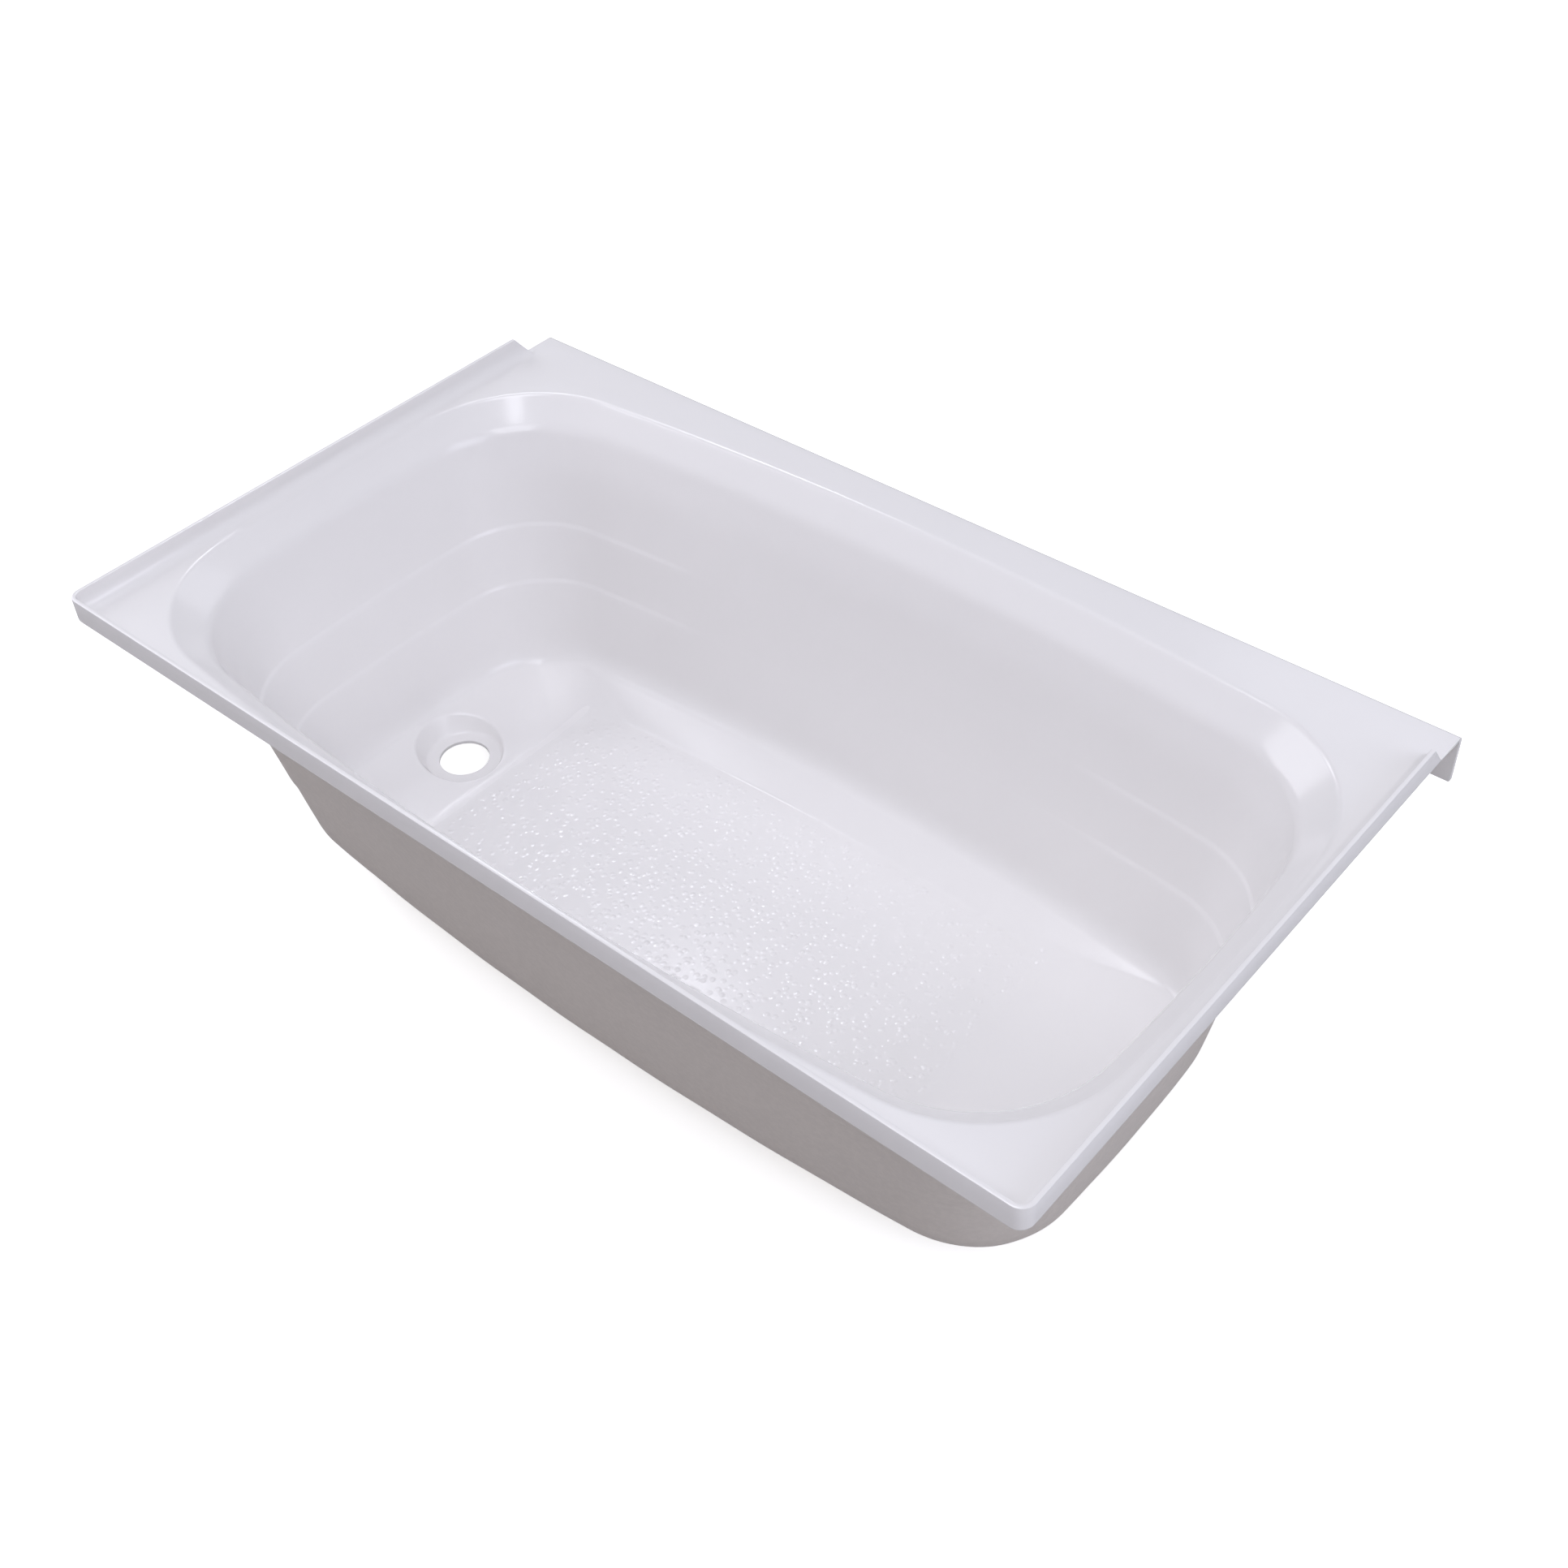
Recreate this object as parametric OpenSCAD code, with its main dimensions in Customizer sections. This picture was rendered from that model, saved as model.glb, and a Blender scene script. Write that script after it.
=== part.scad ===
// Drop-in bathtub for a travel trailer: a formed plastic sheet with a tiling flange on three sides and an apron
// lip on the fourth, stiffened by a laminate behind the basin and carried on a floor board and three bearers.
// X runs along the tub, the drain end at -X. Y runs from the wall side to the apron side. The bearers stand on Z = 0.

/* [Deck] */
// Overall length
tub_l = 1016; // [960:1:1080]
// Overall width
tub_w = 592; // [560:1:640]
// Thickness of the formed sheet
sheet = 4; // [3:0.25:5]
// Height of the deck over the surface that the bearers stand on
deck_z = 323; // [318:1:340]
// Radius of the two corners on the wall side, seen from above
corner_r = 12; // [8:1:20]

/* [Flange and lip] */
// Height of the tiling flange over the deck
flange_h = 21.6; // [15:0.1:30]
// Radius of the cove between flange and deck
cove_r = 12; // [6:0.5:14]
// Radius outside the foot of the flange
heel_r = 5; // [2:0.5:6]
// Distance at which the end flanges stop short of the apron side, at deck level
flange_stop = 37; // [20:1:60]
// Run of the sloping end of the end flanges
flange_slope = 17; // [8:1:25]
// Height of the apron lip, from the deck's top
lip_h = 48.4; // [30:0.2:60]
// Outer radius of the bend between deck and lip
lip_bend_r = 6; // [5:0.5:10]
// Radius of the lip's two lower corners
lip_corner_r = 8; // [3:1:20]

/* [Opening] */
// Deck between the rim and the outside, drain end
rim_gap_drain = 16; // [12:0.5:22]
// Deck between the rim and the outside, back end
rim_gap_back = 19.5; // [14:0.5:26]
// Deck between the rim and the outside, wall side
rim_gap_wall = 10.2; // [10:0.1:20]
// Deck between the rim and the outside, apron side
rim_gap_apron = 45; // [30:1:60]
// Radius of the bowed long sides
side_bow_r = 3690; // [2800:10:6000]
// Radius of the bowed ends
end_bow_r = 2040; // [1400:10:4000]
// Corner radius at the rim
rim_corner_r = 130; // [120:1:150]
// Radius of the roll from the deck down into the opening
rim_roll_r = 8.5; // [5:0.5:8.5]

/* [Basin] */
// Depth at which the sloping shoulder meets the wall
shoulder_drop = 24; // [20:1:28]
// Reach of the bend between them, up and down
shoulder_bend = 6; // [3:0.5:8]
// Corner radius there
shoulder_corner_r = 122; // [118:1:128]
// Depth at which the wall grows steeper
wall_depth = 60; // [50:1:80]
// Distance from the rim to the wall there, at the ends
wall_in_end = 29; // [27:0.5:32]
// Distance from the rim to the wall there, at the sides
wall_in_side = 35; // [32:0.5:38]
// Corner radius there
wall_corner_r = 114; // [108:1:118]

/* [Ledges] */
// Depth of the upper ledge under the deck
ledge_1 = 121; // [105:1:135]
// Distance from the rim to it, at the ends
ledge_1_in_end = 40; // [37:0.5:43]
// Distance from the rim to it, at the sides
ledge_1_in_side = 49; // [45:0.5:52]
// Depth of the lower ledge under the deck
ledge_2 = 182; // [168:1:195]
// Distance from the rim to it, at the ends
ledge_2_in_end = 51; // [48:0.5:54]
// Distance from the rim to it, at the sides
ledge_2_in_side = 61; // [58:0.5:64]
// Corner radius at both ledges
ledge_corner_r = 100; // [95:1:106]
// Width of each ledge where it is widest
ledge_step = 4.5; // [2:0.25:6]
// Height of the slope that makes the ledge
ledge_h = 6; // [4:0.5:10]
// Half length of the stretch of the long sides without ledges
ledge_out = 190; // [120:5:220]
// Run over which a ledge fades in
ledge_fade = 110; // [60:5:130]

/* [Bottom] */
// Depth at which the wall's line ends, before its bend
foot_depth = 264; // [260:0.5:265]
// Distance from the rim to that line's end, at the ends
foot_in_end = 65; // [63:0.5:67]
// Distance from the rim to that line's end, at the sides
foot_in_side = 77.5; // [75:0.5:80]
// Corner radius there
foot_corner_r = 89; // [86:1:92]
// Reach of the bend up the wall
foot_bend = 19; // [12:0.5:24]
// Depth at which the bend ends and the sloping bottom begins
base_depth = 268; // [266:0.5:270]
// Distance from the rim to the sloping bottom, at the ends
base_in_end = 71; // [70:0.5:74]
// Distance from the rim to the sloping bottom, at the sides
base_in_side = 90; // [86:0.5:94]
// Corner radius of the sloping bottom
base_corner_r = 78; // [72:1:84]
// Depth of the floor's middle
floor_depth = 284; // [281:0.5:287]
// Fall of the flat floor from its back edge to its drain edge
floor_drop = 10.5; // [5:0.5:12]
// Distance from the rim to the flat floor, drain end
floor_in_drain = 177; // [150:1:200]
// Distance from the rim to the flat floor, back end
floor_in_back = 221; // [190:1:250]
// Distance from the rim to the flat floor, long sides
floor_in_side = 123; // [110:1:135]
// Corner radius of the flat floor
floor_corner_r = 60; // [40:1:80]

/* [Drain] */
// Distance of the drain from the tub's drain end
drain_in = 140; // [138:1:146]
// Diameter of the drain hole
drain_d = 50.8; // [38:0.1:58]
// Width of the flat seat around the hole
seat_w = 12.6; // [8:0.1:16]
// Depth of the seat under the deck
seat_depth = 290; // [288:0.5:293]
// Steepness of the dish's side
dish_angle = 62; // [50:1:75]

/* [Laminate] */
// Thickness of the laminate behind the basin
laminate = 2; // [1:0.25:3]
// Bare ring left around the drain's seat for its washer and nut
nut_land = 9; // [4:1:14]
// Bond line between glued pieces
bond = 0.3; // [0.2:0.05:0.5]

/* [Supports] */
// Thickness of the floor board
board_t = 9.5; // [6:0.5:15]
// Margin of the board inside the flat floor
board_margin = 9; // [4:1:20]
// Cut-off corners of the board
board_corner = 45; // [30:1:70]
// Width of a bearer
bearer_w = 38; // [25:1:60]
// Distance of the outer bearers from the ends of the board
bearer_inset = 25; // [10:1:60]
// Distance of the bearers' ends from the board's long edges
bearer_end = 12; // [4:1:40]

/* [Hidden] */
eps = 1;                                    // overrun of a cut past the face that it opens
roll_n = 2;                                 // steps of the roll
side_n = 9;                                 // outline steps per quarter along a long side
corner_n = 8;                               // round a corner
end_n = 4;                                  // and along an end
quarter_n = side_n + corner_n + end_n;
ring_n = 4 * quarter_n;
roll_angle = 45;                            // slope of the shoulder, and so the sweep of the roll
roll_run = rim_roll_r * sin(roll_angle);
roll_drop = rim_roll_r * (1 - cos(roll_angle));

// Middle of the opening and its half sizes on the rim's highlight line
open_x = (rim_gap_drain - rim_gap_back) / 2;
open_y = (rim_gap_wall - rim_gap_apron) / 2;
open_a = (tub_l - rim_gap_drain - rim_gap_back) / 2;
open_b = (tub_w - rim_gap_wall - rim_gap_apron) / 2;
drain_x = drain_in - tub_l / 2;
base_x = open_x - open_a + base_in_end;      // ends of the slope at the drain end
edge_x = open_x - open_a + floor_in_drain;
back_base_x = open_x + open_a - base_in_end; // ends of the slope at the back end
back_edge_x = open_x + open_a - floor_in_back;
fall = floor_drop / (back_edge_x - edge_x);

// The floor's plane
function floor_z(x) = deck_z - floor_depth + fall * (x - open_x);

// Corner circle that touches a bowed long side and a bowed end from inside
function corner_centre(a, b, rs, re, r) =
    let (c1 = [0, b - rs], c2 = [a - re, 0], v = c2 - c1, d = norm(v),
         h = ((rs - r) * (rs - r) - (re - r) * (re - r) + d * d) / (2 * d),
         k = sqrt(max((rs - r) * (rs - r) - h * h, 0)),
         m = c1 + v * h / d, q = [-v[1], v[0]] * k / d,
         p1 = m + q, p2 = m - q)
    p1[0] + p1[1] > p2[0] + p2[1] ? p1 : p2;

function arc(c, r, from, to, n) =
    [for (i = [0 : n - 1]) let (t = from + (to - from) * i / n) c + r * [cos(t), sin(t)]];

// One quarter of a bowed outline with round corners, from the end's middle to the long side's middle. The first
// lead steps of the corner are taken along the end instead
function quarter(a, b, rs, re, r, lead) =
    let (cc = corner_centre(a, b, rs, re, r),
         at_end = atan2(cc[1], cc[0] - a + re),
         at_side = atan2(cc[1] - b + rs, cc[0]))
    concat(arc([a - re, 0], re, 0, at_end, end_n + lead),
           arc(cc, r, at_end, at_side, corner_n - lead),
           arc([0, b - rs], rs, at_side, 90, side_n),
           [[0, b]]);

// The whole outline: the quarter and its three reflections
function mirrored_ring(q) =
    let (n = len(q) - 1)
    concat([for (i = [0 : n - 1]) q[i]],
           [for (i = [0 : n - 1]) [-q[n - i][0], q[n - i][1]]],
           [for (i = [0 : n - 1]) -q[i]],
           [for (i = [0 : n - 1]) [q[n - i][0], -q[n - i][1]]]);

// The opening's outline, set in from the rim by different amounts at the drain end, the back end and the sides
function inset_ring(in_drain, in_back, in_side, r, lead = 0) =
    let (in_end = (in_drain + in_back) / 2,
         q = quarter(open_a - in_end, open_b - in_side, side_bow_r - in_side, end_bow_r - in_end, r, lead),
         shift = [open_x + (in_drain - in_back) / 2, open_y])
    [for (p = mirrored_ring(q)) p + shift];

// Stations of the basin's inside, from the deck down: depth, set-in at the drain end, at the back end and at the
// sides, corner radius, share of a ledge's half step
shoulder_in = shoulder_drop - roll_drop;    // the shoulder slopes at 45 degrees
rim = [roll_drop, 0, 0, 0, rim_corner_r, 0];
shoulder_foot = [shoulder_drop, shoulder_in, shoulder_in, shoulder_in, shoulder_corner_r, 0];
wall = [wall_depth, wall_in_end, wall_in_end, wall_in_side, wall_corner_r, 0];
foot = [foot_depth, foot_in_end, foot_in_end, foot_in_side, foot_corner_r, 0];
base = [base_depth, base_in_end, base_in_end, base_in_side, base_corner_r, 0];
floor_station = [floor_depth, floor_in_drain, floor_in_back, floor_in_side, floor_corner_r, 0];

// Mean set-in of a station, the station some way along from a to b, and a quadratic curve from p to q by way of c
function mean_in(s) = (s[1] + s[2] + 2 * s[3]) / 4;
function toward(a, b, way) = a + (b - a) * way / norm([b[0] - a[0], mean_in(b) - mean_in(a)]);
function curve(p, c, q, n) =
    [for (i = [0 : n]) let (t = i / n) p * (1 - t) * (1 - t) + c * 2 * t * (1 - t) + q * t * t];

// The two stations of a ledge, above and below its slope
function ledge(depth, in_end, in_side) =
    [for (half = [-1, 1]) [depth + half * ledge_h / 2, in_end, in_end, in_side, ledge_corner_r, half]];
plain_ledge_2 = [ledge_2, ledge_2_in_end, ledge_2_in_end, ledge_2_in_side, ledge_corner_r, 0];

stations = concat(
    [for (i = [0 : roll_n])
        let (t = roll_angle * i / roll_n, in = rim_roll_r * sin(t) - roll_run)
        [rim_roll_r * (1 - cos(t)), in, in, in, rim_corner_r - in, 0]],
    curve(toward(shoulder_foot, rim, shoulder_bend), shoulder_foot,
          toward(shoulder_foot, wall, shoulder_bend), 2),
    [wall],
    ledge(ledge_1, ledge_1_in_end, ledge_1_in_side),
    ledge(ledge_2, ledge_2_in_end, ledge_2_in_side),
    curve(toward(foot, plain_ledge_2, foot_bend), foot, base, 3));
last = len(stations) - 1;

// A ledge is widest at the ends and runs out towards the middle of the long sides
function ledge_share(x) = min(max((abs(x - open_x) - ledge_out) / ledge_fade, 0), 1);

// The bottom's slopes meet in a mitre at each corner, from the middle of the foot's corner to the floor's end edge.
// The first half of the foot's corner lies in the plane of the end's slope, and the second half rises back
mitre_n = corner_n / 2;
mitre_at = end_n + mitre_n;
function in_quarter(i) = let (j = i % (2 * quarter_n)) j > quarter_n ? 2 * quarter_n - j : j;
function mitre_column(i) =
    let (q = floor(i / quarter_n))
    q % 2 == 0 ? q * quarter_n + mitre_at : (q + 1) * quarter_n - mitre_at;
function slope_dip(x, foot_x, flat_x) =
    (deck_z - base_depth - floor_z(flat_x)) * (x - foot_x) / (flat_x - foot_x);
function end_dip(x) = x < open_x ? slope_dip(x, base_x, edge_x) : slope_dip(x, back_base_x, back_edge_x);
function foot_dip(i, ring) =
    let (past = in_quarter(i) - mitre_at)
    past <= 0 ? end_dip(ring[i][0]) : end_dip(ring[mitre_column(i)][0]) * max(1 - past / mitre_n, 0);

// Direction out of the basin at a station, in [set-in, height], from the mean slope of its neighbours
function station(k) = k > last ? floor_station : stations[k];
function outward(k) =
    k == 0 ? [0, -1] : k > last ? [0, -1] :
    let (s0 = station(k - 1), s1 = station(k + 1),
         v = [mean_in(s1) - mean_in(s0), s0[0] - s1[0]])
    [v[1], -v[0]] / norm(v);

// Ring of points at a station, moved out through the wall by d
function station_ring(k, d) =
    let (s = station(k), n = outward(k) * d, step = s[5] * ledge_step / 2,
         lead = k > last ? mitre_n : 0,
         plain = inset_ring(s[1] + n[0], s[2] + n[0], s[3] + n[0], s[4] - n[0], lead),
         stepped = inset_ring(s[1] + step + n[0], s[2] + step + n[0], s[3] + step + n[0], s[4] - n[0], lead),
         bare = inset_ring(s[1], s[2], s[3], s[4]))
    [for (i = [0 : ring_n - 1])
        let (w = ledge_share(plain[i][0]), p = plain[i] * (1 - w) + stepped[i] * w)
        [p[0], p[1], n[1] + (k > last ? floor_z(p[0]) : deck_z - s[0] - (k == last ? foot_dip(i, bare) : 0))]];

// The basin's wall between two offsets, from a station down: closed by a strip at the top and by the floor's fans
function basin_points(first, near, far) =
    concat([for (k = [first : last + 1]) each station_ring(k, near)],
           [[open_x, open_y, floor_z(open_x) - near]],
           [for (k = [first : last + 1]) each station_ring(k, far)],
           [[open_x, open_y, floor_z(open_x) - far]]);
function skin(rows, base, up) =
    [for (k = [0 : rows - 2], i = [0 : ring_n - 1])
        let (j = (i + 1) % ring_n, a = base + k * ring_n + i, b = base + k * ring_n + j)
        each up ? [[a, b + ring_n, b], [a, a + ring_n, b + ring_n]]
                : [[a, b, b + ring_n], [a, b + ring_n, a + ring_n]]];
function fan(rows, base, up) =
    [for (i = [0 : ring_n - 1])
        let (j = (i + 1) % ring_n, row = base + (rows - 1) * ring_n, pole = base + rows * ring_n)
        up ? [row + j, row + i, pole] : [row + i, row + j, pole]];
module basin_wall(first, near, far) {
    rows = last + 2 - first;
    far_base = rows * ring_n + 1;
    top = [for (i = [0 : ring_n - 1])
        let (j = (i + 1) % ring_n)
        each [[i, j, far_base + j], [i, far_base + j, far_base + i]]];
    polyhedron(points = basin_points(first, near, far),
               faces = concat(skin(rows, 0, true), fan(rows, 0, true),
                              skin(rows, far_base, false), fan(rows, far_base, false), top));
}

// Section of the flange, its cove and its rounded heel: x runs inwards from the outside, y up from the deck's top
module flange_section() {
    difference() {
        union() {
            translate([0, -sheet]) square([sheet, flange_h + sheet]);
            translate([0, -sheet]) square([sheet + cove_r, sheet]);
            difference() {
                translate([sheet, -sheet / 2]) square([cove_r, cove_r + sheet / 2]);
                translate([sheet + cove_r, cove_r]) circle(r = cove_r, $fn = 48);
            }
        }
        difference() {
            translate([-eps, -sheet - eps]) square(heel_r + eps);
            translate([heel_r, heel_r - sheet]) circle(r = heel_r, $fn = 48);
        }
    }
}

// Flange along one side: it starts at the origin, runs along x by length, and stands on the y = 0 line
module flange_run(length) {
    rotate([90, 0, 90]) linear_extrude(length) flange_section();
}

// Outline of the deck from above, with round corners on the wall side and a margin
module deck_outline(margin) {
    r = corner_r - margin;
    x = tub_l / 2 - margin;
    y = tub_w / 2;
    translate([-x, -y + margin + r]) square([2 * x, tub_w - margin - r]);
    translate([-x + r, -y + margin]) square([2 * (x - r), r + eps]);
    for (s = [-1, 1]) translate([s * (x - r), -y + margin + r]) circle(r = r, $fn = 96);
}

// Lip along the apron side, with its bend and its two rounded lower corners
module apron_lip() {
    bend_in = lip_bend_r - sheet;
    intersection() {
        translate([-tub_l / 2, tub_w / 2, deck_z]) rotate([90, 0, 90]) linear_extrude(tub_l)
            difference() {
                union() {
                    translate([-sheet, -lip_h]) square([sheet, lip_h - lip_bend_r]);
                    translate([-lip_bend_r, -lip_bend_r]) circle(r = lip_bend_r, $fn = 64);
                }
                translate([-lip_bend_r, -lip_bend_r]) circle(r = bend_in, $fn = 48);
                translate([-2 * lip_bend_r, -lip_h - eps]) square([2 * lip_bend_r - sheet, lip_h + eps - lip_bend_r]);
                translate([-2 * lip_bend_r, -lip_bend_r - eps]) square([lip_bend_r, lip_bend_r - sheet + eps]);
            }
        translate([0, tub_w / 2 + eps, deck_z]) rotate([90, 0, 0])
            linear_extrude(2 * lip_bend_r + eps) union() {
                translate([-tub_l / 2, -lip_h + lip_corner_r]) square([tub_l, lip_h]);
                translate([-tub_l / 2 + lip_corner_r, -lip_h]) square([tub_l - 2 * lip_corner_r, lip_corner_r + eps]);
                for (s = [-1, 1])
                    translate([s * (tub_l / 2 - lip_corner_r), -lip_h + lip_corner_r])
                        circle(r = lip_corner_r, $fn = 64);
            }
    }
}

// Deck, flange and lip, with the opening cut through
module deck_frame() {
    opening = station_ring(0, 0);
    difference() {
        union() {
            translate([0, 0, deck_z - sheet]) linear_extrude(sheet)
                intersection() {
                    deck_outline(heel_r);
                    translate([-tub_l / 2, -tub_w / 2]) square([tub_l, tub_w - lip_bend_r]);
                }
            intersection() {
                union() {
                    translate([-tub_l / 2, -tub_w / 2, deck_z]) flange_run(tub_l);
                    translate([-tub_l / 2, tub_w / 2 - lip_bend_r, deck_z]) rotate([0, 0, -90])
                        flange_run(tub_w - lip_bend_r);
                    translate([tub_l / 2, -tub_w / 2, deck_z]) rotate([0, 0, 90])
                        flange_run(tub_w - lip_bend_r);
                }
                translate([0, 0, deck_z - sheet - eps]) linear_extrude(flange_h + sheet + 2 * eps)
                    deck_outline(0);
            }
            apron_lip();
        }
        translate([0, 0, deck_z - sheet - eps]) linear_extrude(flange_h + sheet + 2 * eps)
            polygon([for (p = opening) [p[0], p[1]]]);
        translate([-tub_l / 2 - eps, 0, deck_z]) rotate([90, 0, 90]) linear_extrude(tub_l + 2 * eps)
            polygon([[tub_w / 2 - flange_stop, 0],
                     [tub_w / 2 - flange_stop - flange_slope, flange_h],
                     [tub_w / 2 - flange_stop - flange_slope, flange_h + eps],
                     [tub_w / 2 + eps, flange_h + eps],
                     [tub_w / 2 + eps, 0]]);
    }
}

// Cone of the drain's dish, grown outwards by d: its seat lies at seat_depth
seat_r = drain_d / 2 + seat_w;
dish_h = 40;                                // height of the cone, past the sloping bottom on every side
module dish_cone(d) {
    lean = dish_h / tan(dish_angle);
    translate([drain_x, open_y, deck_z - seat_depth - d])
        cylinder(h = dish_h, r1 = seat_r + d, r2 = seat_r + d + lean, $fn = 96);
}

// The bottom at the drain slopes from the wall's foot to the floor's edge. A block under that slope, drop lower
bottom_slope = atan2(deck_z - base_depth - floor_z(edge_x), edge_x - base_x);
module under_bottom(drop) {
    block = 300;
    translate([base_x, open_y, deck_z - base_depth - drop]) rotate([0, bottom_slope, 0])
        translate([-block / 2, -block / 2, -block]) cube(block);
}

module tub_shell() {
    color("white") difference() {
        union() {
            deck_frame();
            basin_wall(0, 0, sheet);
            intersection() {
                dish_cone(sheet);
                under_bottom(sheet / 2);
            }
        }
        dish_cone(0);
        translate([drain_x, open_y, deck_z - seat_depth - sheet - eps])
            cylinder(h = sheet + 2 * eps, r = drain_d / 2, $fn = 96);
    }
}

// Glass-fibre laminate on the back of the basin, left off around the drain so that its nut bears on the sheet
laminate_from = roll_n + 1;                 // the station at the shoulder's foot
module basin_laminate() {
    color([0.56, 0.54, 0.5]) difference() {
        basin_wall(laminate_from, sheet + bond, sheet + bond + laminate);
        translate([drain_x, open_y, deck_z - seat_depth - 2 * dish_h])
            cylinder(h = 3 * dish_h, r = seat_r + sheet + nut_land, $fn = 96);
    }
}

// The board and the bearers hang under the floor in its plane
floor_under = sheet + bond + laminate + bond;
board_x0 = edge_x + board_margin;
board_x1 = back_edge_x - board_margin;
board_y = open_b - floor_in_side - board_margin;
function board_top(x) = floor_z(x) - floor_under;

module floor_board() {
    x0 = board_x0;
    x1 = board_x1;
    y0 = open_y - board_y;
    y1 = open_y + board_y;
    c = board_corner;
    color("burlywood") intersection() {
        translate([0, y1, 0]) rotate([90, 0, 0]) linear_extrude(y1 - y0)
            polygon([[x0, board_top(x0) - board_t], [x1, board_top(x1) - board_t],
                     [x1, board_top(x1)], [x0, board_top(x0)]]);
        linear_extrude(deck_z)
            polygon([[x0 + c, y0], [x1 - c, y0], [x1, y0 + c], [x1, y1 - c],
                     [x1 - c, y1], [x0 + c, y1], [x0, y1 - c], [x0, y0 + c]]);
    }
}

// A timber bearer whose top is cut to the floor's fall and glued to the board
module bearer(x) {
    x0 = x - bearer_w / 2;
    x1 = x + bearer_w / 2;
    y = board_y - bearer_end;
    color("tan") translate([0, open_y + y, 0]) rotate([90, 0, 0]) linear_extrude(2 * y)
        polygon([[x0, 0], [x1, 0],
                 [x1, board_top(x1) - board_t - bond], [x0, board_top(x0) - board_t - bond]]);
}

module drain_end_bearer() bearer(board_x0 + bearer_inset + bearer_w / 2);
module middle_bearer() bearer((board_x0 + board_x1) / 2);
module back_end_bearer() bearer(board_x1 - bearer_inset - bearer_w / 2);

tub_shell();
basin_laminate();
floor_board();
drain_end_bearer();
middle_bearer();
back_end_bearer();
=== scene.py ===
import bpy
import math
import numpy as np
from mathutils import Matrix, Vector


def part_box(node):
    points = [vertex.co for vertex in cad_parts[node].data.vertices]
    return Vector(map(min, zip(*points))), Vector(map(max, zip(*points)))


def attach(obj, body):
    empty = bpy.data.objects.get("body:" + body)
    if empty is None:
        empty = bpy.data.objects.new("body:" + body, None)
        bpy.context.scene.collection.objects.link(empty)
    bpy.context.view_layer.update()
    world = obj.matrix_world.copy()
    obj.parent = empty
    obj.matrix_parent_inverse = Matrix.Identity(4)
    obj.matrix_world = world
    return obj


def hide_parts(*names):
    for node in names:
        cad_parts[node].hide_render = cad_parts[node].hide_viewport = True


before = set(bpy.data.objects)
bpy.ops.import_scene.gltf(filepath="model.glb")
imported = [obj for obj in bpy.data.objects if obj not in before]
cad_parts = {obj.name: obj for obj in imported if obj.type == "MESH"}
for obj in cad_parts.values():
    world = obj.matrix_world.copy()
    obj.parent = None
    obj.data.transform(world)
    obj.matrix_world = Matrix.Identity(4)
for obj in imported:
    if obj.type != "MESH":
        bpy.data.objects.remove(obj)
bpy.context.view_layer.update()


# Camera: a three-quarter view from above the wall side, at the back end. Its place in metres and its turn in
# degrees were fitted to the straight edges of the deck, the flange and the lip.
camera = bpy.data.objects.new("camera", bpy.data.cameras.new("camera"))
bpy.context.scene.collection.objects.link(camera)
camera.location = (0.87481, -0.89507, 1.36264)
camera.rotation_euler = [math.radians(angle) for angle in (46.8702, 2.2267, 40.3940)]
camera.data.sensor_width = 36.0
camera.data.lens = 44.888
bpy.context.scene.camera = camera


# Studio: a ring of large cool softboxes round the tub and one over it, so that every side is softly lit and
# the inside has hardly any shade. A small key lamp gives the crisp highlights, and a lamp opposite the
# camera the glints on the floor's pebbles.
class Socket:
    """A shader value. Python's operators on it add the Math nodes that work it out."""

    def __init__(self, nodes, output):
        self.nodes = nodes
        self.output = output

    def __add__(self, other):
        return self.nodes.math("ADD", self, other)

    def __radd__(self, other):
        return self.nodes.math("ADD", other, self)

    def __sub__(self, other):
        return self.nodes.math("SUBTRACT", self, other)

    def __rsub__(self, other):
        return self.nodes.math("SUBTRACT", other, self)

    def __mul__(self, other):
        return self.nodes.math("MULTIPLY", self, other)

    def __rmul__(self, other):
        return self.nodes.math("MULTIPLY", other, self)

    def __truediv__(self, other):
        return self.nodes.math("DIVIDE", self, other)

    def __rtruediv__(self, other):
        return self.nodes.math("DIVIDE", other, self)

    def __pow__(self, other):
        return self.nodes.math("POWER", self, other)

    def __abs__(self):
        return self.nodes.math("ABSOLUTE", self)

    def ramp(self, low, high, to_low=0.0, to_high=1.0):
        """Goes smoothly from to_low at low to to_high at high."""
        return self.nodes.add("ShaderNodeMapRange", {0: self, 1: low, 2: high, 3: to_low, 4: to_high},
                              interpolation_type="SMOOTHSTEP")


class Nodes:
    """Adds nodes to the tree of a world or a material."""

    def __init__(self, tree):
        self.tree = tree

    def fill(self, node, inputs):
        """Sets or links a node's inputs, each given by its name or number."""
        for key, value in inputs.items():
            if isinstance(value, Socket):
                self.tree.links.new(value.output, node.inputs[key])
            else:
                node.inputs[key].default_value = value

    def add(self, kind, inputs=(), output=0, **settings):
        """Adds a node with its settings, fills its inputs and returns one of its outputs."""
        node = self.tree.nodes.new(kind)
        for key, value in settings.items():
            setattr(node, key, value)
        self.fill(node, dict(inputs))
        return Socket(self, node.outputs[output])

    def math(self, operation, *values):
        return self.add("ShaderNodeMath", dict(enumerate(values)), operation=operation)


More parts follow.
